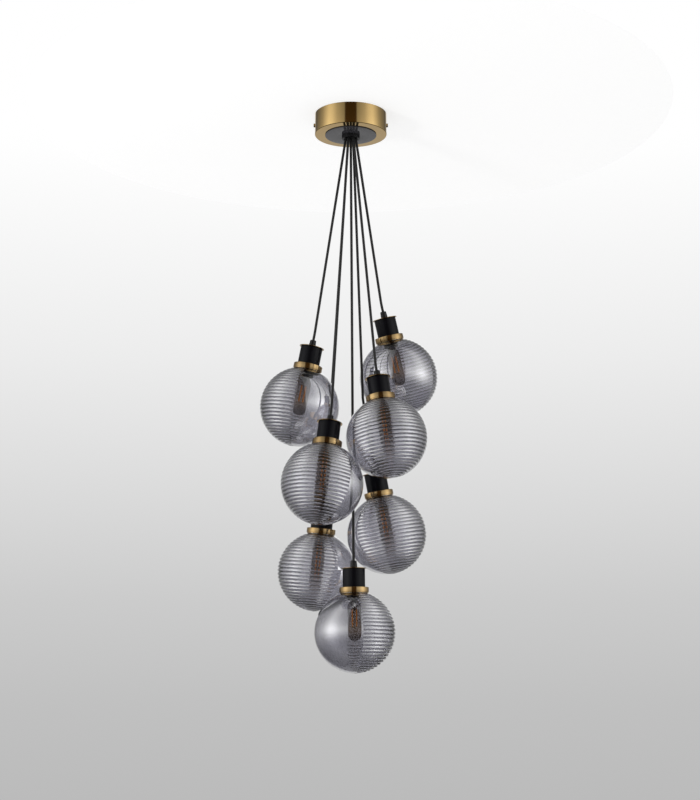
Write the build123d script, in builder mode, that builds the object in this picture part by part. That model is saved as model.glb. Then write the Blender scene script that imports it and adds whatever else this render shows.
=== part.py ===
from build123d import *
from math import acos, cos, degrees, pi, radians, sin, sqrt, tan
import os

# A cluster pendant: seven smoked glass globes hang on black cords from one ceiling canopy.
# Millimetres, +Z up. The origin is on the ceiling, on the canopy's axis. -Y faces the viewer.

# ceiling canopy
canopy_diameter = 140.0
canopy_height = 41.6
canopy_wall = 1.2
canopy_edge_radius = 1.5
trim_diameter = 100.0
trim_thickness = 1.5

# ceiling bracket, a strap with two ears turned down
strap_width = 16.0
strap_thickness = 1.5
ear_height = 28.0
ear_clearance = 0.3
slot_spacing = 80.0
slot_length = 14.0
slot_width = 5.0
side_screw_drop = 22.0
side_screw_diameter = 4.0
side_screw_head = 8.0
side_screw_head_height = 2.6
side_screw_head_taper = 12.0
side_screw_length = 9.0
earth_screw_diameter = 4.0
earth_screw_head = 7.0
earth_screw_head_height = 3.0

# connector block under the strap, and its two screws
block_length = 40.0
block_width = 30.0
block_height = 18.5
block_edge = 1.0
block_screw_diameter = 3.0
block_screw_head = 5.6
block_screw_head_height = 1.2
block_screw_length = 9.0
block_screw_spacing = 32.0

# cord hub below the canopy
hub_diameter = 34.5
hub_height = 7.0
hub_edge = 0.8
stem_diameter = 28.0
stem_above_floor = 8.5
nut_width = 36.0
nut_height = 5.0
exit_circle = 19.0
throat_depth = 3.0
flare_angle = 25.0

# cords
cord_diameter = 5.0
cord_clearance = 0.3
lead_gap = 1.2
cord_straight_at_grip = 14.0
cord_arc_share = 0.45

# one shade, measured up its own axis from the centre of its globe
globe_diameter = 150.0
globe_wall = 2.2
neck_diameter = 49.0
neck_length = 8.6
rib_pitch_angle = 5.6
rib_height = 1.3
pontil_angle = 2.0
pontil_step = 0.2
rib_first_angle = -84.0
rib_free_angle = 3.0
ring_wall = 2.7
ring_step = 0.8
ring_step_height = 1.8
ring_web = 1.6
ring_bevel = 0.6
cup_diameter = 41.5
cup_height = 34.4
cup_wall = 1.2
disc_diameter = 47.0
disc_thickness = 1.2

# lampholder and the cord grip screwed on its nipple
holder_diameter = 27.0
holder_edge = 1.0
holder_below_ring = 22.0
holder_flange_height = 2.0
holder_body_diameter = 22.0
nipple_diameter = 9.8
nipple_above_disc = 4.8
grip_diameter = 13.0
grip_base_height = 7.0
grip_top_diameter = 11.4
grip_height = 13.8
grip_slots = 4
grip_slot_width = 0.9

# lamp
lamp_diameter = 25.0
lamp_wall = 0.9
lamp_cap_diameter = 14.0
lamp_cap_depth = 20.0
lamp_shoulder = 12.0
lamp_below_holder = 76.0
stem_glass_diameter = 5.0
filament_diameter = 2.4
filament_spacing = 8.0
filament_length = 33.0
filament_drop = 17.0
filament_bar = 1.2

# clearances
slip_fit = 0.3
screw_fit = 0.1
lamp_fit = 0.3
knuckle_fit = 0.05
neck_end_gap = 0.6
flange_gap = 0.55
holder_top_gap = 3.2
globe_gap = 0.5

# layout: places are counted in globe pitches, across and back from the hanging axis,
# and up from the lowest globe; leans are degrees the shade's top leans in from its globe
lowest_drop = 1003.8
pitch = globe_diameter + globe_gap
# name: across, back, rise, lean to the side, lean in depth, way the ribs face, hub exit angle
layout = {
    "a": (0.6113, 0.3920, 3.2625, 13.2, 7.4, 58.0, 0.0),
    "b": (-0.6412, 0.0266, 2.8073, -11.1, 0.9, 175.0, 180.0),
    "c": (0.4365, -0.4053, 2.3355, 7.8, -5.2, -53.0, -60.0),
    "d": (-0.3475, -0.6047, 1.7389, -6.7, -7.2, 223.0, -120.0),
    "e": (0.4478, 0.2924, 1.2346, 10.8, 3.8, -46.0, 60.0),
    "f": (-0.4266, 0.5528, 0.7920, -5.7, 3.9, 212.0, 120.0),
    "g": (0.0478, -0.0100, 0.0, 0.9, 0.8, 12.0, None),
}
# the cord of shade e leans on globe a and bends there: across, back, rise in pitches
bend_place = (0.1522, 0.1748, 2.9475)

# derived levels
canopy_floor = -canopy_height + canopy_wall
trim_bottom = -canopy_height - trim_thickness
hub_bottom = trim_bottom - hub_height
throat_level = hub_bottom + throat_depth
stem_top = canopy_floor + stem_above_floor
block_bottom = -strap_thickness - block_height
stem_hole = stem_diameter + 2 * slip_fit
exit_bore = cord_diameter + 2 * cord_clearance
exit_mouth = exit_bore + 2 * throat_depth * tan(radians(flare_angle))
canopy_inner = canopy_diameter / 2 - canopy_wall
ear_face = sqrt(canopy_inner**2 - (strap_width / 2) ** 2) - ear_clearance
earth_screw_x = (block_length / 2 + (slot_spacing - slot_length) / 2) / 2

globe_radius = globe_diameter / 2
neck_base = sqrt(globe_radius**2 - (neck_diameter / 2) ** 2)
neck_top = neck_base + neck_length
ring_inner = neck_diameter / 2 + slip_fit
ring_outer = ring_inner + ring_wall
ring_bottom = neck_base + slip_fit
ring_top = neck_top + neck_end_gap + ring_web
cup_inner = cup_diameter / 2 - cup_wall
cup_top = ring_top + cup_height
disc_top = cup_top + disc_thickness
grip_top = disc_top + grip_height
holder_bottom = ring_top - holder_below_ring
flange_top = ring_top + holder_flange_height
holder_body_height = cup_top - cup_wall - holder_top_gap - flange_top
nipple_hole = nipple_diameter + 2 * slip_fit
nipple_top = disc_top + nipple_above_disc
lamp_tip = holder_bottom - lamp_below_holder
lamp_cap_top = holder_bottom + lamp_cap_depth
lamp_bore = lamp_cap_diameter + 2 * lamp_fit

os.makedirs("parts", exist_ok=True)


def save(part, name):
    """Label one finished piece and write it as its own STEP file."""
    part.label = name
    export_step(part, f"parts/{name}.step")


# ---------------------------------------------------------------- ceiling canopy

with BuildPart() as canopy_shell:
    with BuildSketch(Plane.XY.offset(-canopy_height)):
        Circle(canopy_diameter / 2)
    extrude(amount=canopy_height)
    fillet(canopy_shell.edges().group_by(Axis.Z)[0], canopy_edge_radius)
    offset(amount=-canopy_wall, openings=canopy_shell.faces().sort_by(Axis.Z)[-1])
    with BuildSketch(Plane.XY.offset(-canopy_height)):
        Circle(stem_hole / 2)
    extrude(amount=canopy_wall, mode=Mode.SUBTRACT)
    with BuildSketch(Plane.YZ):
        with Locations((0, -side_screw_drop)):
            Circle(side_screw_diameter / 2 + slip_fit)
    extrude(amount=canopy_diameter / 2, both=True, mode=Mode.SUBTRACT)
save(canopy_shell.part, "canopy_shell")

with BuildPart() as trim_plate:
    with BuildSketch(Plane.XY.offset(trim_bottom)):
        Circle(trim_diameter / 2)
        Circle(stem_hole / 2, mode=Mode.SUBTRACT)
    extrude(amount=trim_thickness)
    rim = trim_plate.edges().filter_by(GeomType.CIRCLE).group_by(SortBy.RADIUS)[-1]
    chamfer(rim.group_by(Axis.Z)[0], trim_thickness / 4)
save(trim_plate.part, "trim_plate")

with BuildPart() as ceiling_bracket:
    with BuildSketch(Plane.XZ.offset(-strap_width / 2)):
        with BuildLine():
            Polyline(
                (-ear_face, -ear_height),
                (-ear_face, 0),
                (ear_face, 0),
                (ear_face, -ear_height),
                (ear_face - strap_thickness, -ear_height),
                (ear_face - strap_thickness, -strap_thickness),
                (-ear_face + strap_thickness, -strap_thickness),
                (-ear_face + strap_thickness, -ear_height),
                close=True,
            )
        make_face()
    extrude(amount=strap_width)
    bends = ceiling_bracket.edges().filter_by(Axis.Y).group_by(Axis.Z)[-1]
    fillet(bends, strap_thickness)
    with BuildSketch(Plane.XY):
        with GridLocations(slot_spacing, 0, 2, 1):
            SlotOverall(slot_length, slot_width)
    extrude(amount=-strap_thickness, mode=Mode.SUBTRACT)
    with BuildSketch(Plane.XY):
        with GridLocations(block_screw_spacing, 0, 2, 1):
            Circle(block_screw_diameter / 2 + screw_fit)
        with Locations((earth_screw_x, 0)):
            Circle(earth_screw_diameter / 2 + screw_fit)
    extrude(amount=-strap_thickness, mode=Mode.SUBTRACT)
    with BuildSketch(Plane.XY):
        with GridLocations(block_screw_spacing, 0, 2, 1):
            Circle(block_screw_head / 2 + screw_fit)
    extrude(amount=-block_screw_head_height, mode=Mode.SUBTRACT)
    with BuildSketch(Plane.YZ):
        with Locations((0, -side_screw_drop)):
            Circle(side_screw_diameter / 2 + screw_fit)
    extrude(amount=ear_face, both=True, mode=Mode.SUBTRACT)
save(ceiling_bracket.part, "ceiling_bracket")

with BuildPart() as side_screws:
    for side in (-1, 1):
        head_plane = Plane((side * canopy_diameter / 2, 0, -side_screw_drop), z_dir=(side, 0, 0))
        with BuildSketch(head_plane):
            Circle(side_screw_head / 2)
        extrude(amount=side_screw_head_height, taper=side_screw_head_taper)
        with BuildSketch(head_plane):
            Circle(side_screw_diameter / 2)
        extrude(amount=-side_screw_length)
save(side_screws.part, "side_screws")

with BuildPart() as earth_screw:
    with BuildSketch(Plane.XY.offset(-strap_thickness)):
        with Locations((earth_screw_x, 0)):
            Circle(earth_screw_head / 2)
    extrude(amount=-earth_screw_head_height)
    fillet(earth_screw.edges().group_by(Axis.Z)[0], earth_screw_head_height / 4)
    with BuildSketch(Plane.XY.offset(-strap_thickness)):
        with Locations((earth_screw_x, 0)):
            Circle(earth_screw_diameter / 2)
    extrude(amount=strap_thickness)
save(earth_screw.part, "earth_screw")


def exit_places(names=layout):
    """The hub exits, one for each cord: the middle one, and the rest on the exit circle."""
    places = []
    for name in names:
        turn = layout[name][6]
        if turn is None:
            places.append((0, 0))
        else:
            places.append((exit_circle / 2 * cos(radians(turn)), exit_circle / 2 * sin(radians(turn))))
    return places


with BuildPart() as connector_block:
    with BuildSketch(Plane.XY.offset(block_bottom)):
        Rectangle(block_length, block_width)
    extrude(amount=block_height)
    fillet(connector_block.edges().filter_by(Axis.Z), block_edge)
    with BuildSketch(Plane.XY.offset(-strap_thickness)):
        with GridLocations(block_screw_spacing, 0, 2, 1):
            Circle(block_screw_diameter / 2 + screw_fit)
    extrude(amount=strap_thickness - block_screw_length, mode=Mode.SUBTRACT)
save(connector_block.part, "connector_block")

with BuildPart() as block_screws:
    with BuildSketch(Plane.XY):
        with GridLocations(block_screw_spacing, 0, 2, 1):
            Circle(block_screw_head / 2)
    extrude(amount=-block_screw_head_height)
    with BuildSketch(Plane.XY):
        with GridLocations(block_screw_spacing, 0, 2, 1):
            Circle(block_screw_diameter / 2)
    extrude(amount=-block_screw_length)
save(block_screws.part, "block_screws")

with BuildPart() as cord_hub:
    with BuildSketch(Plane.XY.offset(hub_bottom)):
        Circle(hub_diameter / 2)
    extrude(amount=hub_height)
    fillet(cord_hub.edges().group_by(Axis.Z)[0], hub_edge)
    with BuildSketch(Plane.XY.offset(trim_bottom)):
        Circle(stem_diameter / 2)
    extrude(amount=stem_top - trim_bottom)
    with BuildSketch(Plane.XY.offset(hub_bottom)):
        with Locations(*exit_places()):
            Circle(exit_bore / 2)
    extrude(amount=stem_top - hub_bottom, mode=Mode.SUBTRACT)
    with BuildSketch(Plane.XY.offset(hub_bottom)):
        with Locations(*exit_places()):
            Circle(exit_mouth / 2)
    extrude(amount=throat_depth, taper=flare_angle, mode=Mode.SUBTRACT)
save(cord_hub.part, "cord_hub")

with BuildPart() as hub_lock_nut:
    with BuildSketch(Plane.XY.offset(canopy_floor)):
        RegularPolygon(nut_width / 2, 6, major_radius=False)
        Circle(stem_diameter / 2 + screw_fit, mode=Mode.SUBTRACT)
    extrude(amount=nut_height)
save(hub_lock_nut.part, "hub_lock_nut")

with BuildPart() as inner_leads:
    with BuildSketch(Plane.XY.offset(throat_level + lead_gap)):
        with Locations(*exit_places()):
            Circle(cord_diameter / 2)
    extrude(amount=block_bottom - throat_level - lead_gap)
save(inner_leads.part, "inner_leads")


# ---------------------------------------------------------------- one shade
# Each piece is drawn once, with the globe's centre at the origin, the shade's axis up Z and
# the ribs facing +X, and is then placed seven times.


def section_plane(turn):
    """The plane of a section through the shade's axis, x out at an angle from the ribs' way."""
    c = cos(radians(turn))
    s = sin(radians(turn))
    return Plane((0, 0, 0), x_dir=(c, s, 0), z_dir=(s, -c, 0))


def on_sphere(radius, angle):
    """The point of a sphere's section at an angle above its equator."""
    return (radius * cos(radians(angle)), radius * sin(radians(angle)))


def sphere_arc(radius, low, high, bulge=0.0):
    """An arc of a sphere's section between two angles, its middle pushed out by the bulge."""
    middle = on_sphere(radius + bulge, (low + high) / 2)
    return ThreePointArc(on_sphere(radius, low), middle, on_sphere(radius, high))


def wall_section(turn, outer_radius, ribs):
    """The section of one half of the globe's wall, from the pontil up to the neck."""
    outer_shoulder = degrees(acos(neck_outer / outer_radius))
    inner_shoulder = degrees(acos(neck_inner / globe_inner))
    with BuildSketch(section_plane(turn)) as section:
        with BuildLine():
            level = pontil_angle - 90.0
            if ribs:
                sphere_arc(outer_radius, level, rib_first_angle)
                level = rib_first_angle
            for rib in range(ribs):
                sphere_arc(outer_radius, level, level + rib_pitch_angle, rib_height)
                level += rib_pitch_angle
            sphere_arc(outer_radius, level, outer_shoulder)
            Polyline(
                on_sphere(outer_radius, outer_shoulder),
                (neck_outer, neck_top),
                (neck_inner, neck_top),
                on_sphere(globe_inner, inner_shoulder),
            )
            sphere_arc(globe_inner, pontil_angle - 90.0, inner_shoulder)
            Line(
                on_sphere(globe_inner, pontil_angle - 90.0),
                on_sphere(outer_radius, pontil_angle - 90.0),
            )
        make_face()
    return section


neck_outer = neck_diameter / 2
neck_inner = neck_outer - globe_wall
globe_inner = globe_radius - globe_wall
# a rib's mean height is two thirds of its crest: with that height level with the plain
# half's surface, the globe balances on its axis
rib_foot = globe_radius - rib_height * 2 / 3
rib_reach = degrees(acos(neck_outer / rib_foot)) - rib_free_angle - rib_first_angle
rib_count = int(rib_reach / rib_pitch_angle)

with BuildPart() as ribbed_half:
    revolve(wall_section(-90.0, rib_foot, rib_count).sketch, axis=Axis.Z, revolution_arc=180)

with BuildPart() as plain_half:
    revolve(wall_section(90.0, globe_radius, 0).sketch, axis=Axis.Z, revolution_arc=180)

with BuildPart() as globe:
    add(ribbed_half.part)
    add(plain_half.part, clean=False)
    with BuildSketch(Plane.XZ):
        with BuildLine():
            pontil_top = pontil_angle - 90.0
            pontil_inner = globe_inner - pontil_step
            pontil_outer = globe_radius + pontil_step
            sphere_arc(pontil_outer, -90.0, pontil_top)
            sphere_arc(pontil_inner, -90.0, pontil_top)
            Line(on_sphere(pontil_inner, pontil_top), on_sphere(pontil_outer, pontil_top))
            Line((0, -pontil_inner), (0, -pontil_outer))
        make_face()
    revolve(axis=Axis.Z, clean=False)

with BuildPart() as shade_ring:
    with BuildSketch(Plane.XZ):
        with BuildLine():
            Polyline(
                (ring_inner, ring_bottom),
                (ring_outer - ring_step, ring_bottom),
                (ring_outer - ring_step, ring_bottom + ring_step_height),
                (ring_outer, ring_bottom + ring_step_height),
                (ring_outer, ring_top - ring_bevel),
                (ring_outer - ring_bevel, ring_top),
                (holder_diameter / 2 + slip_fit, ring_top),
                (holder_diameter / 2 + slip_fit, ring_top - ring_web),
                (ring_inner, ring_top - ring_web),
                close=True,
            )
        make_face()
    revolve(axis=Axis.Z)

with BuildPart() as cup:
    with BuildSketch(Plane.XY.offset(ring_top)):
        Circle(cup_diameter / 2)
    extrude(amount=cup_height)
    with BuildSketch(Plane.XY.offset(ring_top)):
        Circle(cup_inner)
    extrude(amount=cup_height - cup_wall, mode=Mode.SUBTRACT)
    with BuildSketch(Plane.XY.offset(cup_top)):
        Circle(nipple_hole / 2)
    extrude(amount=-cup_wall, mode=Mode.SUBTRACT)

with BuildPart() as top_disc:
    with BuildSketch(Plane.XY.offset(cup_top)):
        Circle(disc_diameter / 2)
        Circle(nipple_hole / 2, mode=Mode.SUBTRACT)
    extrude(amount=disc_thickness)
    circles = top_disc.edges().filter_by(GeomType.CIRCLE)
    fillet(circles.group_by(SortBy.RADIUS)[-1], disc_thickness / 3)

with BuildPart() as lampholder:
    with BuildSketch(Plane.XY.offset(holder_bottom)):
        Circle(holder_diameter / 2)
    extrude(amount=ring_top - holder_bottom)
    fillet(lampholder.edges().group_by(Axis.Z)[0], holder_edge)
    with BuildSketch(Plane.XY.offset(ring_top)):
        Circle(cup_inner - flange_gap)
    extrude(amount=holder_flange_height)
    with BuildSketch(Plane.XY.offset(flange_top)):
        Circle(holder_body_diameter / 2)
    extrude(amount=holder_body_height)
    with BuildSketch(Plane.XY.offset(flange_top)):
        Circle(nipple_diameter / 2)
    extrude(amount=nipple_top - flange_top)
    with BuildSketch(Plane.XY.offset(holder_bottom)):
        Circle(lamp_bore / 2)
    extrude(amount=lamp_cap_depth + lamp_fit, mode=Mode.SUBTRACT)
    # the cord grip on the nipple is the node's second solid
    with BuildSketch(Plane.XY.offset(disc_top)):
        Circle(grip_diameter / 2)
    extrude(amount=grip_base_height)
    with BuildSketch(Plane.XY.offset(disc_top + grip_base_height)):
        Circle(grip_diameter / 2)
    with BuildSketch(Plane.XY.offset(grip_top)):
        Circle(grip_top_diameter / 2)
    loft()
    with BuildSketch(Plane.XY.offset(disc_top)):
        Circle(nipple_hole / 2)
    extrude(amount=nipple_above_disc + slip_fit, mode=Mode.SUBTRACT)
    with BuildSketch(Plane.XY.offset(disc_top)):
        Circle(nipple_diameter / 2)
    extrude(amount=nipple_above_disc)
    with BuildSketch(Plane.XY.offset(grip_top)):
        with PolarLocations(grip_diameter / 2, grip_slots):
            Rectangle(grip_diameter - cord_diameter, grip_slot_width)
    extrude(amount=grip_base_height - grip_height, mode=Mode.SUBTRACT)

with BuildPart() as lamp:
    lamp_radius = lamp_diameter / 2
    lamp_inner = lamp_radius - lamp_wall
    cap_radius = lamp_cap_diameter / 2
    shoulder_level = holder_bottom - lamp_shoulder
    dome_level = lamp_tip + lamp_radius
    first_bar = holder_bottom - filament_drop
    with BuildSketch(Plane.XZ):
        with BuildLine():
            outer_turn = (lamp_radius * sin(pi / 4), dome_level - lamp_radius * cos(pi / 4))
            inner_turn = (lamp_inner * sin(pi / 4), dome_level - lamp_inner * cos(pi / 4))
            ThreePointArc((0, lamp_tip), outer_turn, (lamp_radius, dome_level))
            Polyline(
                (lamp_radius, dome_level),
                (lamp_radius, shoulder_level),
                (cap_radius, holder_bottom),
                (cap_radius, lamp_cap_top),
                (0, lamp_cap_top),
                (0, holder_bottom),
                (cap_radius - lamp_wall, holder_bottom),
                (lamp_inner, shoulder_level),
                (lamp_inner, dome_level),
            )
            ThreePointArc((lamp_inner, dome_level), inner_turn, (0, lamp_tip + lamp_wall))
            Line((0, lamp_tip + lamp_wall), (0, lamp_tip))
        make_face()
    revolve(axis=Axis.Z)
    # the glass stem inside carries two upright filaments between two bars
    with BuildSketch(Plane.XY.offset(holder_bottom)):
        Circle(stem_glass_diameter / 2)
    extrude(amount=-filament_drop)
    for bar_level in (first_bar, first_bar - filament_length):
        with BuildSketch(Plane.XY.offset(bar_level)):
            Rectangle(filament_spacing + 2 * filament_bar, filament_bar)
        extrude(amount=-filament_bar)
    with BuildSketch(Plane.XY.offset(first_bar)):
        with GridLocations(filament_spacing, 0, 2, 1):
            Circle(filament_diameter / 2)
    extrude(amount=-filament_length)


# ---------------------------------------------------------------- the seven pendants


def layout_point(across, back, rise):
    """A layout place as a point in the part's frame."""
    return Vector(across * pitch, back * pitch, rise * pitch - lowest_drop)


def shade_plane(name):
    """The plane at a globe's centre: its z runs up the shade's axis, its x the way the ribs face."""
    across, back, rise, lean_side, lean_back, rib_turn, exit_turn = layout[name]
    up = Vector(-tan(radians(lean_side)), -tan(radians(lean_back)), 1).normalized()
    facing = Vector(cos(radians(rib_turn)), sin(radians(rib_turn)), 0)
    facing = (facing - up * facing.dot(up)).normalized()
    return Plane(layout_point(across, back, rise), x_dir=facing, z_dir=up)


def cord_tube(points, domed_end=False, hollow_start=False):
    """A cord: straight runs through the points, with an arc at each inner point.

    Where two lengths of one cord meet, the upper one ends in a dome and the lower one is
    hollowed to match, so that the lower one can swing about their shared point.
    """
    radii = []
    for before, here, after in zip(points, points[1:], points[2:]):
        turn = (here - before).get_angle(after - here)
        shorter = min((here - before).length, (after - here).length)
        radii.append(cord_arc_share * shorter / tan(radians(turn / 2)))
    with BuildPart() as piece:
        with BuildLine() as route:
            if radii:
                FilletPolyline(*points, radius=radii)
            else:
                Line(points[0], points[1])
        with BuildSketch(Plane(points[0], z_dir=points[1] - points[0])):
            Circle(cord_diameter / 2)
        sweep()
        length = sum(edge.length for edge in route.edges())
        share = piece.part.volume / (length * pi * cord_diameter**2 / 4)
        if domed_end:
            with Locations(points[-1]):
                Sphere(cord_diameter / 2)
        if hollow_start:
            with Locations(points[0]):
                Sphere(cord_diameter / 2 + knuckle_fit, mode=Mode.SUBTRACT)
    print("cord", round(length, 1), "mm, radii", [round(r) for r in radii])
    print("its volume over its section times its length:", round(share, 4))
    return piece


shade_pieces = {
    "globe": globe,
    "shade_ring": shade_ring,
    "cup": cup,
    "top_disc": top_disc,
    "lampholder": lampholder,
    "lamp": lamp,
}

for name in layout:
    base = shade_plane(name)
    for kind, piece in shade_pieces.items():
        save(piece.part.moved(base.location), f"{kind}_{name}")
    exit_x, exit_y = exit_places([name])[0]
    start = Vector(exit_x, exit_y, throat_level)
    near_grip = base.origin + base.z_dir * (grip_top + cord_straight_at_grip)
    end = base.origin + base.z_dir * grip_top
    if name == "e":
        bend = layout_point(*bend_place)
        save(cord_tube([start, bend], domed_end=True).part, "cord_e_upper")
        save(cord_tube([bend, near_grip, end], hollow_start=True).part, "cord_e_lower")
    else:
        save(cord_tube([start, near_grip, end]).part, f"cord_{name}")
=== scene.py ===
import bmesh
import bpy
import math
from mathutils import Matrix, Vector


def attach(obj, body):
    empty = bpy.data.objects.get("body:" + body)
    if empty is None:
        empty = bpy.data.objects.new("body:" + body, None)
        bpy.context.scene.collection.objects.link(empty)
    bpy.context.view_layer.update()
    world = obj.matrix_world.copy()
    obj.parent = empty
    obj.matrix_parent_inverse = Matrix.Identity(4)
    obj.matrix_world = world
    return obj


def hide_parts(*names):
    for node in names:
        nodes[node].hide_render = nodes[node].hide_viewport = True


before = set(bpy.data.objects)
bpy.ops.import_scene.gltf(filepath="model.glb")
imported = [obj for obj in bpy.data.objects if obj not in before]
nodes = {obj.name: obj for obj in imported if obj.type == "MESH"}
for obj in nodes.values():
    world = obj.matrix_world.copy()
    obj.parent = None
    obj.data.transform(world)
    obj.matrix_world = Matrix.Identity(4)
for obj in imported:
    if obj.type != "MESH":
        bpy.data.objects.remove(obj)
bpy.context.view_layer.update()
scene = bpy.context.scene
scene.view_settings.view_transform = "Standard"
mm = 0.001
print("frame loaded:", len(nodes), "nodes")

# camera, at the photograph's angle
cameraView = {"place": (-0.0015, -3.1, -1.1938), "pitch": 11.4, "lens": 75.375, "sensor": 36,
              "near": 0.05, "far": 60, "bounces": 24}
camera = bpy.data.objects.new("camera", bpy.data.cameras.new("camera"))
scene.collection.objects.link(camera)
camera.location = cameraView["place"]
camera.rotation_euler = (math.radians(90 + cameraView["pitch"]), 0, 0)
camera.data.lens = cameraView["lens"]
camera.data.sensor_width = cameraView["sensor"]
camera.data.clip_start = cameraView["near"]
camera.data.clip_end = cameraView["far"]
scene.camera = camera
scene.cycles.max_bounces = cameraView["bounces"]  # light passes many glass walls
scene.cycles.transmission_bounces = cameraView["bounces"]
scene.cycles.transparent_max_bounces = cameraView["bounces"]

# where the pendants hang: places in globe pitches, leans and turns in degrees
# exit is the turn of the cord's hole round the hub; shade g hangs from the middle one
cluster = {"pitch": 150.5 * mm, "drop": 1.0038, "throat": -47.1 * mm, "exitRadius": 9.5 * mm,
           "gripTop": 131.089 * mm, "straightAtGrip": 14 * mm}
pendants = {
    "a": {"place": (0.6113, 0.3920, 3.2625), "lean": (13.2, 7.4),
          "ribs": 58, "lampTurn": -50, "exit": 0},
    "b": {"place": (-0.6412, 0.0266, 2.8073), "lean": (-11.1, 0.9),
          "ribs": 175, "lampTurn": 12, "exit": 180},
    "c": {"place": (0.4365, -0.4053, 2.3355), "lean": (7.8, -5.2),
          "ribs": -53, "lampTurn": 0, "exit": -60},
    "d": {"place": (-0.3475, -0.6047, 1.7389), "lean": (-6.7, -7.2),
          "ribs": 223, "lampTurn": 0, "exit": -120},
    "e": {"place": (0.4478, 0.2924, 1.2346), "lean": (10.8, 3.8),
          "ribs": -46, "lampTurn": 0, "exit": 60},
    "f": {"place": (-0.4266, 0.5528, 0.7920), "lean": (-5.7, 3.9),
          "ribs": 212, "lampTurn": 0, "exit": 120},
    "g": {"place": (0.0478, -0.0100, 0.0), "lean": (0.9, 0.8),
          "ribs": 12, "lampTurn": 0, "exit": None},
}
bendPlace = (0.1522, 0.1748, 2.9475)  # where the cord of shade e leans on globe a


def layoutPoint(across, back, rise):
    p = cluster["pitch"]
    return Vector((across * p, back * p, rise * p - cluster["drop"]))


def shadeMatrix(name):
    item = pendants[name]
    side, depth = item["lean"]
    up = Vector((-math.tan(math.radians(side)), -math.tan(math.radians(depth)), 1)).normalized()
    turn = math.radians(item["ribs"])
    facing = Vector((math.cos(turn), math.sin(turn), 0))
    facing = (facing - up * facing.dot(up)).normalized()
    across = up.cross(facing)
    made = Matrix((facing, across, up)).transposed().to_4x4()
    made.translation = layoutPoint(*item["place"])
    return made


# cords
cordLook = {"diameter": 5 * mm, "sides": 5, "steps": 12}


def makeCord(name, points, body, node):
    curve = bpy.data.curves.new(name, "CURVE")
    curve.dimensions = "3D"
    curve.bevel_depth = 1.0  # times each point's radius, which is half the cord's diameter
    curve.bevel_resolution = cordLook["sides"]
    curve.use_fill_caps = True
    spline = curve.splines.new("NURBS")
    spline.points.add(len(points) - 1)
    for spot, p in zip(spline.points, points):
        spot.co = (*p, 1)
        spot.radius = cordLook["diameter"] / 2
    spline.order_u = 3
    spline.use_endpoint_u = True
    spline.resolution_u = cordLook["steps"]
    piece = bpy.data.objects.new(name, curve)
    scene.collection.objects.link(piece)
    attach(piece, body)
    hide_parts(node)
    return piece


cords = []
for name, item in pendants.items():
    shade = shadeMatrix(name)
    up = shade.to_3x3() @ Vector((0, 0, 1))
    turn = math.radians(item["exit"] or 0)
    reach = 0 if item["exit"] is None else cluster["exitRadius"]
    start = Vector((reach * math.cos(turn), reach * math.sin(turn), cluster["throat"]))
    gripEnd = shade.translation + up * cluster["gripTop"]
    corner = gripEnd + up * cluster["straightAtGrip"]
    first = layoutPoint(*bendPlace) if name == "e" else start
    back = (first - corner).normalized()
    before = corner + back * cluster["straightAtGrip"]  # keeps the long run straight
    route = [first, before, corner, gripEnd]
    if name == "e":
        cords.append(makeCord("cordEUpper", [start, first], "canopy", "cord_e_upper"))
        cords.append(makeCord("cordELower", route, "pendant_e_cord", "cord_e_lower"))
    else:
        cords.append(makeCord("cord" + name.upper(), route, f"pendant_{name}_cord",
                              "cord_" + name))
print("cords:", len(cords))


# materials
def newMaterial(name):
    made = bpy.data.materials.new(name)
    made.use_nodes = True
    tree = made.node_tree
    return made, tree, tree.nodes["Principled BSDF"]


def addNode(tree, kind, values=None, **settings):
    node = tree.nodes.new(kind)
    for key, value in settings.items():
        setattr(node, key, value)
    for key, value in (values or {}).items():
        node.inputs[key].default_value = value
    return node


def stretched(tree, scale, own=False):
    if own:
        place = addNode(tree, "ShaderNodeAttribute", attribute_name="ownPlace").outputs["Vector"]
    else:
        place = addNode(tree, "ShaderNodeTexCoord").outputs["Object"]
    mapping = addNode(tree, "ShaderNodeMapping", {"Scale": scale})
    tree.links.new(place, mapping.inputs["Vector"])
    return mapping.outputs["Vector"]


def ramp(tree, source, stops):
    node = addNode(tree, "ShaderNodeValToRGB")
    band = node.color_ramp
    while len(band.elements) < len(stops):
        band.elements.new(0.5)
    for element, (place, colour) in zip(band.elements, stops):
        element.position = place
        element.color = (*colour, 1)
    tree.links.new(source, node.inputs["Fac"])
    return node.outputs["Color"]


def grey(level):
    return (level, level, level)


# from one colour to the other, round the middle of a noise
def noiseRamp(tree, source, first, second, spread=0.2):
    return ramp(tree, source, [(0.5 - spread, first), (0.5 + spread, second)])


bumpDepth = 0.2 * mm


def addBump(tree, shader, height, strength):
    bump = addNode(tree, "ShaderNodeBump", {"Strength": strength, "Distance": bumpDepth})
    tree.links.new(height, bump.inputs["Height"])
    tree.links.new(bump.outputs["Normal"], shader.inputs["Normal"])


def brassMaterial(name, values):
    made, tree, shader = newMaterial(name)
    shader.inputs["Metallic"].default_value = 1
    lines = addNode(tree, "ShaderNodeTexNoise", {"Scale": 1.0, "Detail": 4.0, "Roughness": 0.6})
    tree.links.new(stretched(tree, values["lineScale"], values["own"]), lines.inputs["Vector"])
    clouds = addNode(tree, "ShaderNodeTexNoise", {"Scale": values["cloudScale"], "Detail": 3.0})
    tree.links.new(stretched(tree, (1, 1, 1)), clouds.inputs["Vector"])
    tint = noiseRamp(tree, clouds.outputs["Fac"], values["darkColour"], values["colour"])
    tree.links.new(tint, shader.inputs["Base Color"])
    low, high = values["roughness"]
    rough = noiseRamp(tree, lines.outputs["Fac"], grey(low), grey(high))
    tree.links.new(rough, shader.inputs["Roughness"])
    addBump(tree, shader, lines.outputs["Fac"], values["bump"])
    return made


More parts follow.
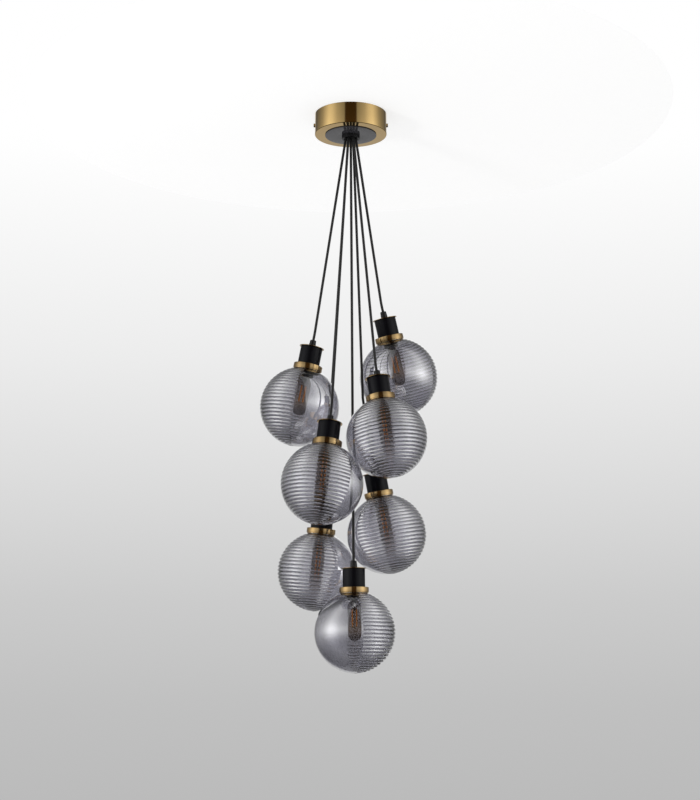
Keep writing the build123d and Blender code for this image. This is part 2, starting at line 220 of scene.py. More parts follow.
def coatMaterial(name, values):
    made, tree, shader = newMaterial(name)
    grain = addNode(tree, "ShaderNodeTexNoise", {"Scale": values["grain"], "Detail": 3.0})
    tree.links.new(stretched(tree, (1, 1, 1)), grain.inputs["Vector"])
    tint = noiseRamp(tree, grain.outputs["Fac"], values["darkColour"], values["colour"], 0.15)
    tree.links.new(tint, shader.inputs["Base Color"])
    low, high = values["roughness"]
    rough = noiseRamp(tree, grain.outputs["Fac"], grey(low), grey(high))
    tree.links.new(rough, shader.inputs["Roughness"])
    shader.inputs["Metallic"].default_value = values.get("metallic", 0)
    shader.inputs["Specular IOR Level"].default_value = values.get("sheen", 0.5)
    # an emission in the material's own colour; it is set only for the filaments, as a painted glow
    shader.inputs["Emission Color"].default_value = (*values["colour"], 1)
    shader.inputs["Emission Strength"].default_value = values.get("paintedGlow", 0)
    addBump(tree, shader, grain.outputs["Fac"], values["bump"])
    return made


def glassMaterial(name, values):
    made, tree, shader = newMaterial(name)
    shader.inputs["Transmission Weight"].default_value = 1
    shader.inputs["IOR"].default_value = values["ior"]
    shader.inputs["Coat Weight"].default_value = values["skin"]
    shader.inputs["Coat IOR"].default_value = values["skinIor"]
    shader.inputs["Coat Roughness"].default_value = values["skinRoughness"]
    seeds = addNode(tree, "ShaderNodeTexNoise", {"Scale": values["cloudScale"], "Detail": 2.0})
    tree.links.new(stretched(tree, (1, 1, 1)), seeds.inputs["Vector"])
    tint = noiseRamp(tree, seeds.outputs["Fac"], values["darkColour"], values["colour"])
    tree.links.new(tint, shader.inputs["Base Color"])
    low, high = values["roughness"]
    rough = noiseRamp(tree, seeds.outputs["Fac"], grey(low), grey(high))
    tree.links.new(rough, shader.inputs["Roughness"])
    path = addNode(tree, "ShaderNodeLightPath")
    clear = addNode(tree, "ShaderNodeBsdfTransparent", {"Color": (*values["shadow"], 1)})
    mix = addNode(tree, "ShaderNodeMixShader")
    tree.links.new(path.outputs["Is Shadow Ray"], mix.inputs["Fac"])
    tree.links.new(shader.outputs["BSDF"], mix.inputs[1])
    tree.links.new(clear.outputs["BSDF"], mix.inputs[2])
    tree.links.new(mix.outputs["Shader"], tree.nodes["Material Output"].inputs["Surface"])
    return made


satinBrass = brassMaterial("satinBrass", {
    "colour": (0.47, 0.33, 0.16), "darkColour": (0.43, 0.29, 0.13), "roughness": (0.08, 0.13),
    "lineScale": (60, 60, 4000), "own": True, "cloudScale": 40, "bump": 0.04})
canopyBrass = brassMaterial("canopyBrass", {
    "colour": (0.62, 0.43, 0.18), "darkColour": (0.58, 0.40, 0.165), "roughness": (0.07, 0.11),
    "lineScale": (40, 40, 2500), "own": False, "cloudScale": 20, "bump": 0.04})
blackEnamel = coatMaterial("blackEnamel", {
    "colour": (0.004, 0.004, 0.006), "darkColour": (0.003, 0.003, 0.005), "roughness": (0.26, 0.34),
    "grain": 2200, "bump": 0.10, "sheen": 0.16})
blackPlastic = coatMaterial("blackPlastic", {
    "colour": (0.011, 0.011, 0.012), "darkColour": (0.008, 0.008, 0.009), "roughness": (0.34, 0.45),
    "grain": 1400, "bump": 0.10})
cordSheath = coatMaterial("cordSheath", {
    "colour": (0.018, 0.018, 0.018), "darkColour": (0.010, 0.010, 0.010), "roughness": (0.42, 0.55),
    "grain": 1800, "bump": 0.16})
darkPlate = coatMaterial("darkPlate", {
    "colour": (0.055, 0.053, 0.060), "darkColour": (0.045, 0.044, 0.050), "roughness": (0.08, 0.12),
    "grain": 1600, "bump": 0.03})
zincSteel = coatMaterial("zincSteel", {
    "colour": (0.60, 0.60, 0.58), "darkColour": (0.50, 0.50, 0.49), "roughness": (0.30, 0.45),
    "grain": 500, "bump": 0.10, "metallic": 1})
paleCeramic = coatMaterial("paleCeramic", {
    "colour": (0.72, 0.72, 0.70), "darkColour": (0.66, 0.66, 0.64), "roughness": (0.30, 0.45),
    "grain": 700, "bump": 0.08})
# the filaments: their own amber colour, plus a faint painted glow in that colour, which stands in for the
# light that reaches them through the lamp and globe glass; the lamp is not lit
amberPhosphorPaintedGlow = coatMaterial("amberPhosphorPaintedGlow", {
    "colour": (0.95, 0.32, 0.05), "darkColour": (0.85, 0.26, 0.04), "roughness": (0.45, 0.60),
    "grain": 1500, "bump": 0.10, "paintedGlow": 0.35})
smoked = {"colour": (0.755, 0.75, 0.805), "darkColour": (0.735, 0.73, 0.78), "roughness": (0.0, 0.008),
          "cloudScale": 18, "ior": 1.5, "skin": 1.0, "skinIor": 4.0, "skinRoughness": 0.03,
          "shadow": (0.75, 0.75, 0.77)}
bare = {"skin": 0.0, "skinIor": 1.5, "skinRoughness": 0.0}  # glass with no mirror skin
smokedGlass = glassMaterial("smokedGlass", smoked)
bareGlass = glassMaterial("bareGlass", {**smoked, **bare})
lampGlass = glassMaterial("lampGlass", {
    "colour": (0.62, 0.605, 0.60), "darkColour": (0.59, 0.575, 0.57), "roughness": (0.0, 0.01),
    "cloudScale": 40, "ior": 1.47, "shadow": (0.9, 0.9, 0.9), **bare})
for piece in cords:
    piece.data.materials.append(cordSheath)
print("materials made")


# rings of points, joined ring to ring; the ends close in a point, or in each other
def gridMesh(name, rows, material, sharp=30, wrapRows=False, bottomPoint=None, topPoint=None):
    verts, faces = [], []
    count = len(rows[0])
    for row in rows:
        verts.extend(row)
    for r in range(len(rows) if wrapRows else len(rows) - 1):
        low, high = r * count, (r + 1) % len(rows) * count
        for c in range(count):
            d = (c + 1) % count
            faces.append((low + c, low + d, high + d, high + c))
    for point, base in ((bottomPoint, 0), (topPoint, (len(rows) - 1) * count)):
        if point is not None:
            verts.append(point)
            last = len(verts) - 1
            faces.extend((last, base + c, base + (c + 1) % count) for c in range(count))
    mesh = bpy.data.meshes.new(name)
    mesh.from_pydata(verts, [], faces)
    mesh.validate()
    work = bmesh.new()
    work.from_mesh(mesh)
    bmesh.ops.recalc_face_normals(work, faces=work.faces)
    work.to_mesh(mesh)
    work.free()
    mesh.polygons.foreach_set("use_smooth", [True] * len(mesh.polygons))
    mesh.set_sharp_from_angle(angle=math.radians(sharp))
    mesh.materials.append(material)
    return mesh


# eases each (radius, height) corner, in millimetres, by a small arc
cornerShare = 0.45  # the most of a side that a corner may take


def rounded(points, radius, steps=4):
    made = []
    count = len(points)
    for i, here in enumerate(points):
        h, b, a = Vector(here), Vector(points[i - 1]), Vector(points[(i + 1) % count])
        r = radius[i] if isinstance(radius, (list, tuple)) else radius
        if r == 0:
            made.append(tuple(h))
            continue
        reach = min(r, (b - h).length * cornerShare, (a - h).length * cornerShare)
        p, q = h + (b - h).normalized() * reach, h + (a - h).normalized() * reach
        for k in range(steps + 1):
            t = k / steps
            made.append(tuple(p * (1 - t) ** 2 + h * 2 * t * (1 - t) + q * t * t))
    return made


# turns a profile in millimetres about Z; poles closes its first and last points on the axis
def latheMesh(name, profile, material, columns=96, sharp=35, shape=None, poles=False):
    rows = []
    inner = profile[1:-1] if poles else profile
    for r, z in inner:
        row = []
        for c in range(columns):
            angle = 2 * math.pi * c / columns
            q = shape(angle, r, z) if shape else r
            row.append((q * mm * math.cos(angle), q * mm * math.sin(angle), z * mm))
        rows.append(row)
    if poles:
        return gridMesh(name, rows, material, sharp, False,
                        (0, 0, profile[0][1] * mm), (0, 0, profile[-1][1] * mm))
    return gridMesh(name, rows, material, sharp, True)


# moves the mesh itself, and keeps each point's place on the piece for the brushed lines
def placed(mesh, name, matrix, body, slot, *replaced):
    own = mesh.attributes.new("ownPlace", "FLOAT_VECTOR", "POINT")
    coords = [0.0] * (3 * len(mesh.vertices))
    mesh.vertices.foreach_get("co", coords)
    own.data.foreach_set("vector", coords)
    mesh.transform(matrix)
    piece = bpy.data.objects.new(name, mesh)
    scene.collection.objects.link(piece)
    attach(piece, body)
    if replaced:
        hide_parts(*replaced)
    return piece


def arcPoints(radius, low, high, steps, centre=0.0):
    made = []
    for k in range(steps + 1):
        angle = math.radians(low + (high - low) * k / steps)
        made.append((radius * math.cos(angle), centre + radius * math.sin(angle)))
    return made


# the globe: half of its wall ribbed outside, half plain
# turns and levels are in degrees; the pontil is the small button at the foot
globeShape = {"radius": 75.0, "wall": 2.2, "neckRadius": 24.5, "neckTop": 79.49, "neckFoot": 2.5,
              "lipOutside": 2.0, "lipInside": 4.0, "lipSteps": 8, "innerFoot": -89, "innerSteps": 56,
              "ribPitch": 5.6, "ribHeight": 1.3, "firstRib": -84.0, "ribs": 27, "stepsPerRib": 10,
              "columns": 144, "footLevels": (-86.8, -85.6, -84.6), "pontil": 2.0, "pontilStep": 0.2,
              "pontilEdge": 0.15}


def globeMesh(name, material):
    g = globeShape
    radius, inside = g["radius"], g["radius"] - g["wall"]
    valley = radius - g["ribHeight"] * 2 / 3
    half = g["columns"] // 2
    angles = [(-90 + 180 * k / half, True) for k in range(half + 1)]
    angles += [(90 + 180 * k / half, False) for k in range(half + 1)]
    shoulder = math.degrees(math.acos(g["neckRadius"] / radius))
    levels = [-90 + g["pontil"] * k / 3 for k in (1, 2, 3)]
    levels += [-90 + g["pontil"] + g["pontilEdge"], *g["footLevels"]]
    steps = g["ribs"] * g["stepsPerRib"]
    levels += [g["firstRib"] + g["ribPitch"] * k / g["stepsPerRib"] for k in range(steps + 1)]
    top = levels[-1]
    levels += [top + (shoulder - top) * k / 4 for k in (1, 2, 3, 4)]
    rows = []
    for level in levels:
        c, s = math.cos(math.radians(level)), math.sin(math.radians(level))
        part = (level - g["firstRib"]) / g["ribPitch"]
        crest = 0 <= part <= g["ribs"]
        wave = 4 * (part % 1) * (1 - part % 1) if crest else 0
        row = []
        for turn, ribbed in angles:
            r = valley + g["ribHeight"] * wave if ribbed else radius
            if level <= -90 + g["pontil"]:
                r = radius + g["pontilStep"]
            if level > top:
                blend = (level - top) / (shoulder - top)
                r = r + (radius - r) * blend
            a = math.radians(turn)
            row.append((r * c * math.cos(a) * mm, r * c * math.sin(a) * mm, r * s * mm))
        rows.append(row)
    neck, bore = g["neckRadius"], g["neckRadius"] - g["wall"]
    innerShoulder = math.degrees(math.acos(bore / inside))
    base = radius * math.sin(math.radians(shoulder))
    profile = [(neck, base + g["neckFoot"]), (neck, g["neckTop"] - g["lipOutside"])]
    lipRadius, lipLevel = neck - g["wall"] / 2, g["neckTop"] - g["wall"] / 2
    profile += [(lipRadius + x, lipLevel + z) for x, z in arcPoints(g["wall"] / 2, 0, 180, g["lipSteps"])]
    profile += [(bore, g["neckTop"] - g["lipInside"])]
    profile += arcPoints(inside, innerShoulder, g["innerFoot"], g["innerSteps"])
    turns = [math.radians(turn) for turn, ribbed in angles]
    for r, z in profile:
        rows.append([(r * math.cos(a) * mm, r * math.sin(a) * mm, z * mm) for a in turns])
    mesh = gridMesh(name, rows, material, 32, False,
                    (0, 0, -(radius + g["pontilStep"]) * mm), (0, 0, -inside * mm))
    mesh.materials.append(bareGlass)  # the mirror skin is on the outside alone
    for face in mesh.polygons:
        face.material_index = 1 if face.normal.dot(face.center) < 0 else 0
    return mesh


# the fittings above the globe
# heights are from the globe's centre; edges are the corners' radii, in the profile's order
ringShape = {"bore": 24.8, "step": 26.7, "radius": 27.5, "bottom": 71.19, "stepTop": 72.99,
             "top": 81.69, "hole": 13.8, "web": 1.6, "columns": 128,
             "edges": (0.2, 0.4, 0.2, 0.7, 0.7, 0.3, 0.2, 0.3)}
cupShape = {"radius": 20.75, "wall": 1.2, "bottom": 81.69, "top": 116.09, "hole": 5.2, "columns": 128,
            "edges": (0.3, 0.4, 0.8, 0.1, 0.1, 0.4)}
discShape = {"radius": 23.5, "hole": 5.2, "bottom": 116.09, "top": 117.29, "columns": 128,
             "edges": (0.1, 0.45, 0.45, 0.1)}
gripShape = {"radius": 6.5, "topRadius": 5.7, "bottom": 117.29, "shoulder": 124.29, "top": 131.09,
             "slots": 4, "slotRadius": 3.2, "slotAngle": 3, "flutes": 12, "flute": 0.3, "fluteEdge": 0.5,
             "bevel": 0.3, "soft": 0.4, "crown": 1.0, "mouth": 3.0, "columns": 192}
holderShape = {"radius": 13.5, "bore": 7.3, "bottom": 59.69, "ringTop": 81.69, "flange": 19.0,
               "flangeTop": 83.69, "body": 11.0, "bodyTop": 111.69, "nipple": 4.9, "nippleTop": 117.2,
               "leadHole": 1.0, "socketDepth": 20.3, "edge": 0.35, "columns": 96, "grooves": 4,
               "firstGroove": 4.0, "groovePitch": 2.6, "grooveDepth": 0.5, "grooveSide": 0.3,
               "grooveWidth": 1.2}


def ringMesh(name, material):
    s = ringShape
    corners = [(s["bore"], s["bottom"]), (s["step"], s["bottom"]), (s["step"], s["stepTop"]),
               (s["radius"], s["stepTop"]), (s["radius"], s["top"]), (s["hole"], s["top"]),
               (s["hole"], s["top"] - s["web"]), (s["bore"], s["top"] - s["web"])]
    return latheMesh(name, rounded(corners, s["edges"]), material, s["columns"])


def cupMesh(name, material):
    s = cupShape
    inner = s["radius"] - s["wall"]
    corners = [(inner, s["bottom"]), (s["radius"], s["bottom"]), (s["radius"], s["top"]),
               (s["hole"], s["top"]), (s["hole"], s["top"] - s["wall"]), (inner, s["top"] - s["wall"])]
    return latheMesh(name, rounded(corners, s["edges"]), material, s["columns"])


def discMesh(name, material):
    s = discShape
    corners = [(s["hole"], s["bottom"]), (s["radius"], s["bottom"]), (s["radius"], s["top"]),
               (s["hole"], s["top"])]
    return latheMesh(name, rounded(corners, s["edges"]), material, s["columns"])


def gripMesh(name, material):
    s = gripShape

    def slotted(angle, r, z):
        halfPitch = 180 / s["slots"]
        away = abs((math.degrees(angle) + halfPitch) % (2 * halfPitch) - halfPitch)
        if z > s["shoulder"] and away < s["slotAngle"]:
            return min(r, s["slotRadius"])
        if z < s["shoulder"] - s["fluteEdge"] and r > s["radius"] - s["fluteEdge"]:
            return r - s["flute"] * (0.5 + 0.5 * math.cos(s["flutes"] * angle))
        return r

    wide, slim, bevel, soft = s["radius"], s["topRadius"], s["bevel"], s["soft"]
    profile = [(0, s["bottom"]), (wide - bevel, s["bottom"]), (wide, s["bottom"] + soft),
               (wide, s["shoulder"] - 2 * soft), (wide - bevel, s["shoulder"] - bevel),
               (wide - bevel, s["shoulder"] + bevel), (slim, s["top"] - 3 * soft),
               (slim - bevel, s["top"] - soft), (slim - s["crown"], s["top"]), (s["mouth"], s["top"]),
               (0, s["top"])]
    return latheMesh(name, profile, material, s["columns"], 40, slotted, True)


def holderMesh(name, material):
    s = holderShape
    corners = [(s["bore"], s["bottom"]), (s["radius"], s["bottom"])]
    deep, socketEnd = s["radius"] - s["grooveDepth"], s["bottom"] + s["socketDepth"]
    for k in range(s["grooves"]):  # turned grooves round the lower end
        low = s["bottom"] + s["firstGroove"] + s["groovePitch"] * k
        high = low + s["grooveWidth"]
        corners += [(s["radius"], low), (deep, low + s["grooveSide"]), (deep, high - s["grooveSide"]),
                    (s["radius"], high)]
    corners += [(s["radius"], s["ringTop"]), (s["flange"], s["ringTop"]), (s["flange"], s["flangeTop"]),
                (s["body"], s["flangeTop"]), (s["body"], s["bodyTop"]), (s["nipple"], s["bodyTop"]),
                (s["nipple"], s["nippleTop"]), (s["leadHole"], s["nippleTop"]),
                (s["leadHole"], socketEnd), (s["bore"], socketEnd)]
    return latheMesh(name, rounded(corners, s["edge"], 2), material, s["columns"])


# the lamp: a slim clear tube on a small screw cap, with two upright filaments
lampShape = {"radius": 12.5, "wall": 0.9, "tip": -16.31, "shoulder": 46.5, "neck": 59.6, "neckRadius": 7.0,
             "tubeLevels": (10.0, 30.0), "tipSteps": 16, "shoulderSteps": 12, "columns": 64}
# the screw cap, with its thread as a fine wave, and the contact on top
capShape = {"radius": 6.9, "top": 79.5, "edge": 0.4, "thread": 0.25, "firstThread": 0.5,
            "threadLength": 16, "threadSteps": 32, "shoulder": (1.5, 1.8), "contact": (2.6, 0.6),
            "columns": 48}
# the glass stem inside: (radius, drop below the neck), then (inset, rise above the end)
stemShape = {"radius": 2.5, "end": 44.0, "foot": ((0, 0.2), (5.6, 0.2), (5.2, 1.2), (3.4, 3.0), (2.5, 6.0)),
             "taper": ((0.3, 4), (0.5, 1), (1.3, 0), (2.5, -0.3)), "columns": 40}
filamentShape = {"radius": 1.2, "top": 42.4, "bottom": 8.8, "spacing": 8.0, "inset": 1.5, "steps": 6,
                 "columns": 14}
wireShape = {"radius": 0.35, "start": 1.0, "spread": 1.4, "stemRise": 3, "bend": 0.6, "rise": 0.3,
             "drop": 0.4, "hold": 2.0, "support": (0.2, 26), "columns": 8}


def lampGlassMesh(name, material):
    s = lampShape

    def side(inset):
        r, neck = s["radius"] - inset, s["neckRadius"] - inset
        tip = arcPoints(r, -90, 0, s["tipSteps"], s["tip"] + s["radius"])
        made = [(max(x, 0), z) for x, z in tip]
        made += [(r, level) for level in s["tubeLevels"]]
        for k in range(s["shoulderSteps"] + 1):  # the shoulder draws in to the cap in an easy curve
            t = k / s["shoulderSteps"]
            ease = 3 * t * t - 2 * t ** 3
            made.append((r + (neck - r) * ease, s["shoulder"] + (s["neck"] - s["shoulder"]) * t))
        return made

    outside, inside = side(0), side(s["wall"])
    return latheMesh(name, outside + inside[::-1], material, s["columns"], 40, None, True)


def lampCapMesh(name, material):
    s, base = capShape, lampShape["neck"]
    profile = [(0, base), (s["radius"] - s["edge"], base)]
    for k in range(s["threadSteps"] + 1):
        z = base + s["firstThread"] + s["threadLength"] * k / s["threadSteps"]
        profile.append((s["radius"] - s["thread"] - s["thread"] * math.cos(k * math.pi / 2), z))
    inset, drop = s["shoulder"]
    contact, rise = s["contact"]
    profile += [(s["radius"] - inset, s["top"] - drop), (contact, s["top"] - rise), (0, s["top"])]
    return latheMesh(name, profile, material, s["columns"], 50, None, True)


def lampStemMesh(name, material):
    s = stemShape
    profile = [(r, lampShape["neck"] - drop) for r, drop in s["foot"]]
    profile += [(s["radius"] - inset, s["end"] + rise) for inset, rise in s["taper"]]
    return latheMesh(name, profile, material, s["columns"], 50, None, True)


# rings of points along a route, for a thin wire or rod
def tubeRows(points, radius, columns):
    rows = []
    spots = [Vector(p) for p in points]
    for i, p in enumerate(spots):
        way = (spots[min(i + 1, len(spots) - 1)] - spots[max(i - 1, 0)]).normalized()
        side = way.cross(Vector((0, 1, 0.01))).normalized()
        other = way.cross(side)
        rows.append([tuple((p + (side * math.cos(t) + other * math.sin(t)) * radius) * mm)
                     for t in (2 * math.pi * c / columns for c in range(columns))])
    return rows


# several rods in one mesh
def rodMesh(name, routes, radius, material, columns, sharp=50):
    work = bmesh.new()
    for route in routes:
        rows = tubeRows(route, radius, columns)
        first, last = tuple(Vector(route[0]) * mm), tuple(Vector(route[-1]) * mm)
        part = gridMesh("part", rows, material, sharp, False, first, last)
        work.from_mesh(part)
        bpy.data.meshes.remove(part)
    mesh = bpy.data.meshes.new(name)
    work.to_mesh(mesh)
    work.free()
    mesh.polygons.foreach_set("use_smooth", [True] * len(mesh.polygons))
    mesh.set_sharp_from_angle(angle=math.radians(sharp))
    mesh.materials.append(material)
    return mesh


def filamentMesh(name, material):
    s = filamentShape
    top, bottom, steps = s["top"] - s["inset"], s["bottom"] + s["inset"], s["steps"]
    routes = [[(x, 0, top - (top - bottom) * k / steps) for k in range(steps + 1)]
              for x in (-s["spacing"] / 2, s["spacing"] / 2)]
    return rodMesh(name, routes, s["radius"], material, s["columns"])


# two wires from the stem to the filaments, one across their feet, and the support between them
def wireMesh(name, material):
    s, stemEnd = wireShape, stemShape["end"]
    x, top, low = filamentShape["spacing"] / 2, filamentShape["top"], filamentShape["bottom"]
    bend, hold = s["bend"], s["hold"]
    routes = [[(side * s["start"], 0, stemEnd + s["stemRise"]), (side * s["spread"], 0, stemEnd),
               (side * (x - bend), 0, top + s["rise"]), (side * x, 0, top - s["drop"]),
               (side * x, 0, top - hold)] for side in (-1, 1)]
    routes.append([(-x, 0, low + hold), (-x, 0, low + bend), (-x + bend, 0, low), (x - bend, 0, low),
                   (x, 0, low + bend), (x, 0, low + hold)])
    back, middle = s["support"]
    routes.append([(0, 0, stemEnd), (0, back, middle), (0, 0, low)])
    return rodMesh(name, routes, s["radius"], material, s["columns"])


shadeMeshes = [  # piece, maker, material, slot, what it replaces
    ("globe", globeMesh, smokedGlass, "smoked_glass", ("globe_",)),
    ("shadeRing", ringMesh, satinBrass, "brushed_brass", ("shade_ring_",)),
    ("cup", cupMesh, blackEnamel, "black_enamel", ("cup_",)),
    ("topDisc", discMesh, satinBrass, "brushed_brass", ("top_disc_",)),
    ("cordGrip", gripMesh, blackPlastic, "black_plastic", ()),
    ("lampHolder", holderMesh, blackPlastic, "black_plastic", ("lampholder_",)),
    ("lampGlass", lampGlassMesh, lampGlass, "lamp_glass", ("lamp_",)),
    ("lampCap", lampCapMesh, satinBrass, "brushed_brass", ()),
    ("lampStem", lampStemMesh, lampGlass, "lamp_glass", ()),
    ("filaments", filamentMesh, amberPhosphorPaintedGlow, "lamp_glass", ()),
    ("leadWires", wireMesh, zincSteel, "zinc_plate", ()),
]
lampPieces = ("lampGlass", "lampCap", "lampStem", "filaments", "leadWires")
for kind, maker, material, slot, replaced in shadeMeshes:
    drawn = maker(kind, material)
    for name in pendants:
        place = shadeMatrix(name)
        if kind in lampPieces:
            place = place @ Matrix.Rotation(math.radians(pendants[name]["lampTurn"]), 4, "Z")
        placed(drawn.copy(), kind + name.upper(), place, f"pendant_{name}_shade", slot,
               *[node + name for node in replaced])
    bpy.data.meshes.remove(drawn)
    print("made", kind)


# the canopy
canopyShape = {"radius": 70.0, "wall": 1.2, "depth": 41.6, "hole": 14.3, "columns": 256,
               "edges": (0.1, 1.5, 0.3, 0.3, 1.0, 0.1)}
plateShape = {"radius": 50.0, "bottom": 43.1, "columns": 192, "edges": (0.2, 0.4, 0.1, 0.1)}


def canopyMesh(name, material):
    s = canopyShape
    inner = s["radius"] - s["wall"]
    corners = [(s["hole"], -s["depth"]), (s["radius"], -s["depth"]), (s["radius"], 0), (inner, 0),
               (inner, -s["depth"] + s["wall"]), (s["hole"], -s["depth"] + s["wall"])]
    return latheMesh(name, rounded(corners, s["edges"], 6), material, s["columns"], 30)


def plateMesh(name, material):
    s, hole, depth = plateShape, canopyShape["hole"], canopyShape["depth"]
    corners = [(hole, -s["bottom"]), (s["radius"], -s["bottom"]), (s["radius"], -depth), (hole, -depth)]
    return latheMesh(name, rounded(corners, s["edges"]), material, s["columns"], 30)


still = Matrix.Identity(4)
placed(canopyMesh("canopyShell", canopyBrass), "canopyShell", still, "canopy", "brushed_brass",
       "canopy_shell")
placed(plateMesh("trimPlate", darkPlate), "trimPlate", still, "canopy", "dark_plate", "trim_plate")
finishes = {"ceiling_bracket": zincSteel, "side_screws": canopyBrass, "earth_screw": zincSteel,
            "connector_block": paleCeramic, "block_screws": zincSteel, "cord_hub": blackPlastic,
            "hub_lock_nut": blackPlastic, "inner_leads": cordSheath}
for node, material in finishes.items():
    nodes[node].data.materials.clear()
    nodes[node].data.materials.append(material)
print("canopy made")


# floor, ceiling, light
studio = {"floor": -1.75, "floorRadius": 5.0, "floorPaint": 0.70, "floorRoughness": 0.8, "floorGlow": 0.24,
          "ceiling": 0.5 * mm, "ceilingRadius": 0.62, "ceilingPaint": 0.50, "ceilingRoughness": 0.9,
          "ceilingGlow": 0.70, "discRings": (0.3, 0.7, 1.0), "discColumns": 96, "keyPower": 13,
          "keyPlace": (-1.5, -1.6, -0.95), "keyTarget": (0, 0, -0.1), "keySize": (0.35, 0.35)}
# each tone below is (place, brightness), in a straight line to the next
# how bright the backdrop is, by the height of the view's direction: 0.5 is level, 1 straight up
backdropTones = [(0.0, 0.42), (0.46, 0.47), (0.51, 0.53), (0.54, 0.60), (0.61, 0.84), (0.67, 1.0)]
# how bright the room is round the object, by the turn from the camera's side: 1 is the far side
roomTones = [(0.0, 0.30), (0.12, 0.33), (0.25, 0.56), (0.33, 0.89), (0.38, 1.0), (0.42, 1.0),
             (0.56, 0.43), (0.64, 0.28), (0.80, 0.12)]
# and by height, as a share of the brightest level; roomGlow times both is the light there
heightTones = [(0.0, 0.04), (0.21, 0.05), (0.30, 0.11), (0.37, 0.28), (0.50, 0.87), (0.55, 1.0),
               (0.60, 0.89), (0.68, 0.65), (0.75, 0.52), (0.93, 0.35), (1.0, 0.12)]
roomGlow = 1.75
# the dark brown gap between the two side lights, where the camera stands: (place, colour)
gapTones = [(0.096, (0.16, 0.10, 0.045)), (0.114, (1.0, 1.0, 1.0))]
# where the room gives way to the backdrop
backTones = [(0.83, 0.0), (0.91, 1.0)]
# what shows above and below the backdrop, in reflections and through the glass
glassTones = [(0.0, 0.08), (0.20, 0.14), (0.28, 0.58), (0.50, 0.56), (0.55, 0.63), (0.60, 0.80),
              (0.65, 0.92), (0.70, 0.90), (0.78, 0.22), (0.86, 0.12), (1.0, 0.20)]


def stageDisc(name, height, radius, material):
    count = studio["discColumns"]
    angles = [2 * math.pi * c / count for c in range(count)]
    rows = [[(radius * share * math.cos(a), radius * share * math.sin(a), height) for a in angles]
            for share in studio["discRings"]]
    mesh = gridMesh(name, rows, material, 30, False, (0, 0, height))
    piece = bpy.data.objects.new(name, mesh)
    scene.collection.objects.link(piece)
    return piece


floorPaint, tree, shader = newMaterial("floorPaint")
shader.inputs["Base Color"].default_value = (*grey(studio["floorPaint"]), 1)
shader.inputs["Roughness"].default_value = studio["floorRoughness"]
shader.inputs["Emission Color"].default_value = (1, 1, 1, 1)
shader.inputs["Emission Strength"].default_value = studio["floorGlow"]
floor = stageDisc("floor", studio["floor"], studio["floorRadius"], floorPaint)
floor.visible_glossy = False
floor.visible_transmission = False

# the ceiling shows only from below, so that views from above look through it
ceilingPaint, tree, shader = newMaterial("ceilingPaint")
shader.inputs["Base Color"].default_value = (*grey(studio["ceilingPaint"]), 1)
shader.inputs["Roughness"].default_value = studio["ceilingRoughness"]
shader.inputs["Specular IOR Level"].default_value = 0.0
shader.inputs["Emission Color"].default_value = (1, 1, 1, 1)
shader.inputs["Emission Strength"].default_value = studio["ceilingGlow"]
facing = addNode(tree, "ShaderNodeNewGeometry")
height = addNode(tree, "ShaderNodeSeparateXYZ")
tree.links.new(facing.outputs["True Normal"], height.inputs["Vector"])
above = addNode(tree, "ShaderNodeMath", {1: 0.0}, operation="GREATER_THAN")
tree.links.new(height.outputs["Z"], above.inputs[0])
see = addNode(tree, "ShaderNodeBsdfTransparent")
mix = addNode(tree, "ShaderNodeMixShader")
tree.links.new(above.outputs["Value"], mix.inputs["Fac"])
tree.links.new(shader.outputs["BSDF"], mix.inputs[1])
tree.links.new(see.outputs["BSDF"], mix.inputs[2])
tree.links.new(mix.outputs["Shader"], tree.nodes["Material Output"].inputs["Surface"])
ceiling = stageDisc("ceiling", studio["ceiling"], studio["ceilingRadius"], ceilingPaint)
ceiling.visible_glossy = False
ceiling.visible_transmission = False

# the world: a grey backdrop for the camera, and the room's tones for everything else
world = bpy.data.worlds.new("studioWorld")
scene.world = world
world.use_nodes = True
tree = world.node_tree
background = tree.nodes["Background"]


def maths(operation, first, second=None):
    node = addNode(tree, "ShaderNodeMath", operation=operation)
    for socket, value in zip(node.inputs, (first, second)):
        if isinstance(value, (int, float)):
            socket.default_value = value
        elif value is not None:
            tree.links.new(value, socket)
    return node.outputs["Value"]


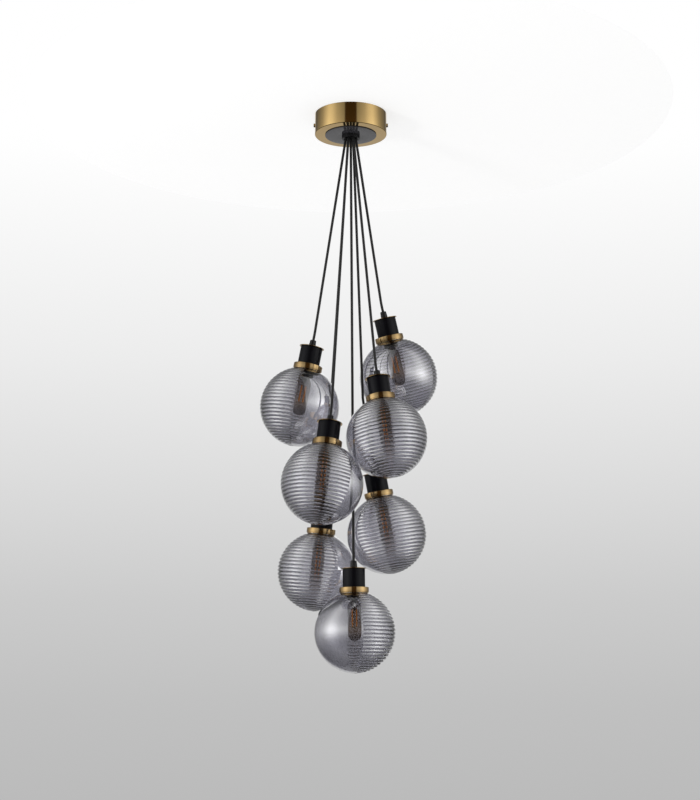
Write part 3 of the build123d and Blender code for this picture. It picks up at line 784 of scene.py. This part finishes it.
def mixed(kind, share, first, second):
    node = addNode(tree, "ShaderNodeMix", data_type="RGBA", blend_type=kind)
    for socket, value in zip((node.inputs[0], node.inputs[6], node.inputs[7]), (share, first, second)):
        if isinstance(value, (int, float, tuple)):
            socket.default_value = value
        else:
            tree.links.new(value, socket)
    return node.outputs[2]


def tones(source, stops):
    return ramp(tree, source, [(at, grey(tone)) for at, tone in stops])


where = addNode(tree, "ShaderNodeTexCoord")
split = addNode(tree, "ShaderNodeSeparateXYZ")
tree.links.new(where.outputs["Generated"], split.inputs["Vector"])
toUnit = addNode(tree, "ShaderNodeMapRange", {"From Min": -1.0, "From Max": 1.0})
tree.links.new(split.outputs["Z"], toUnit.inputs["Value"])
level = toUnit.outputs["Result"]
towardsCamera = maths("MULTIPLY", split.outputs["Y"], -1.0)
turned = maths("DIVIDE", maths("ABSOLUTE", maths("ARCTAN2", split.outputs["X"], towardsCamera)), math.pi)
room = mixed("MULTIPLY", 1.0, tones(turned, roomTones), tones(level, heightTones))
room = mixed("MULTIPLY", 1.0, room, (*grey(roomGlow), 1))
room = mixed("MULTIPLY", 1.0, room, ramp(tree, turned, gapTones))
beyond = mixed("MIX", tones(turned, backTones), room, tones(level, glassTones))
path = addNode(tree, "ShaderNodeLightPath")
seen = mixed("MIX", path.outputs["Is Camera Ray"], beyond, tones(level, backdropTones))
tree.links.new(seen, background.inputs["Color"])
background.inputs["Strength"].default_value = 1.0


def areaLight(name, place, target, size, power):
    data = bpy.data.lights.new(name, "AREA")
    data.shape = "RECTANGLE"
    data.size, data.size_y = size
    data.energy = power
    lamp = bpy.data.objects.new(name, data)
    scene.collection.objects.link(lamp)
    lamp.location = place
    lamp.rotation_euler = (Vector(target) - Vector(place)).to_track_quat("-Z", "Y").to_euler()
    return lamp


# a small light low on the left throws the canopy's soft shadow on the ceiling
keyLight = areaLight("keyLight", studio["keyPlace"], studio["keyTarget"], studio["keySize"],
                     studio["keyPower"])
keyLight.visible_glossy = False
keyLight.visible_transmission = False
print("studio lit")
